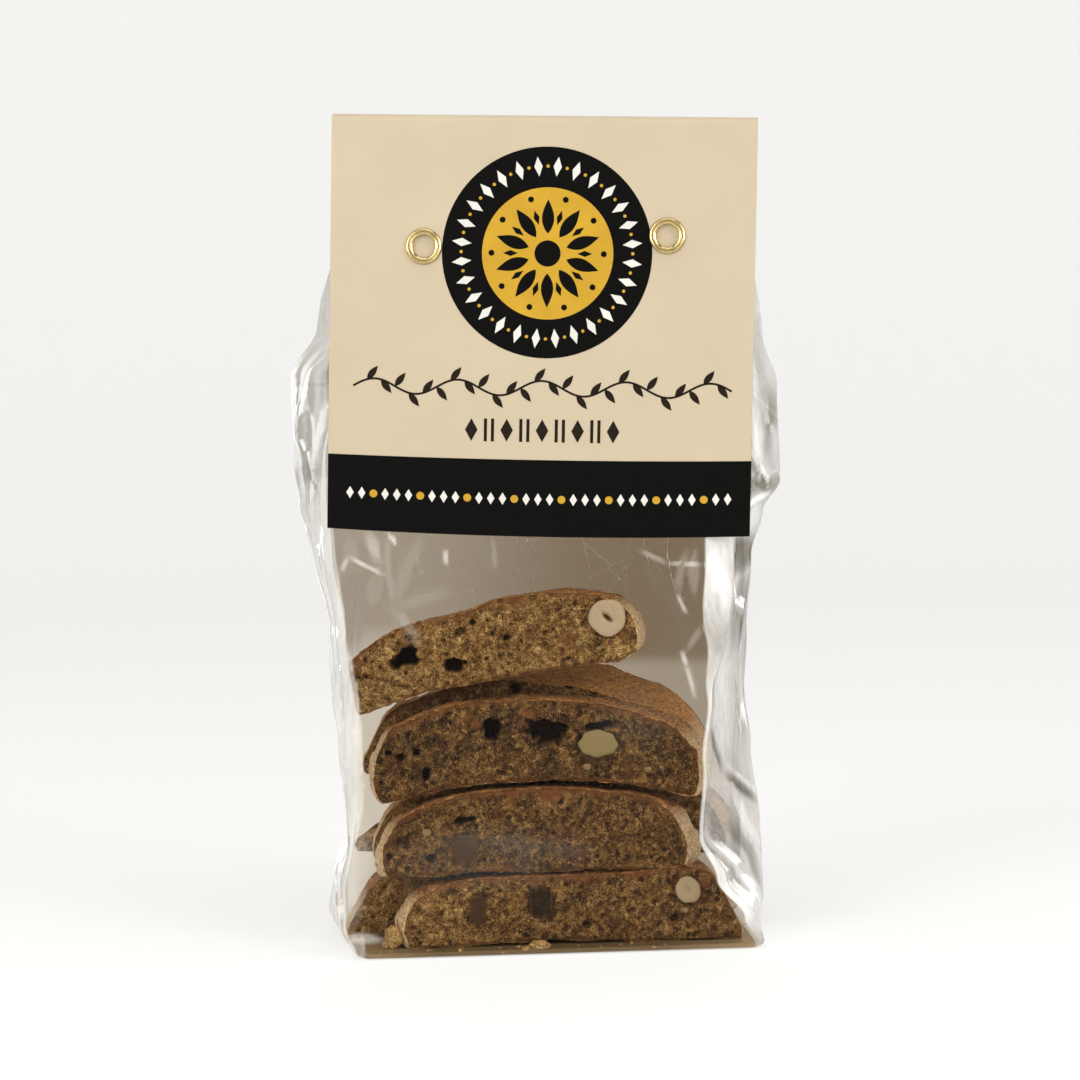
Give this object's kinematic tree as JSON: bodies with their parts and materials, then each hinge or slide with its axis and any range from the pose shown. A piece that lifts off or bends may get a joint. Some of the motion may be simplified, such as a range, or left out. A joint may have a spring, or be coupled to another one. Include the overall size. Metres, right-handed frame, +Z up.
{
  "type": "bag of biscotti",
  "caption": "Clear side-gusseted bag of nut biscotti stacked on a stiff base card, closed by a folded header card with brass eyelets.",
  "frame": {"origin": "on the resting plane, under the middle of the pack's outer box", "axes": "+Z up, through the header card's fold; -Y towards the front, where the header card's print is; +X to the right seen from the front"},
  "size_m": [0.124, 0.0674, 0.2126],
  "materials": {
    "film": "gloss",
    "header_card": "satin",
    "eyelet": "polished",
    "base_card": "satin",
    "crumb": "matte",
    "nut": "satin",
    "fruit": "satin"
  },
  "bodies": {
    "root": {"bag": "film", "header_card": "header_card", "eyelet_left": "eyelet", "eyelet_right": "eyelet"}
  },
  "joints": []
}
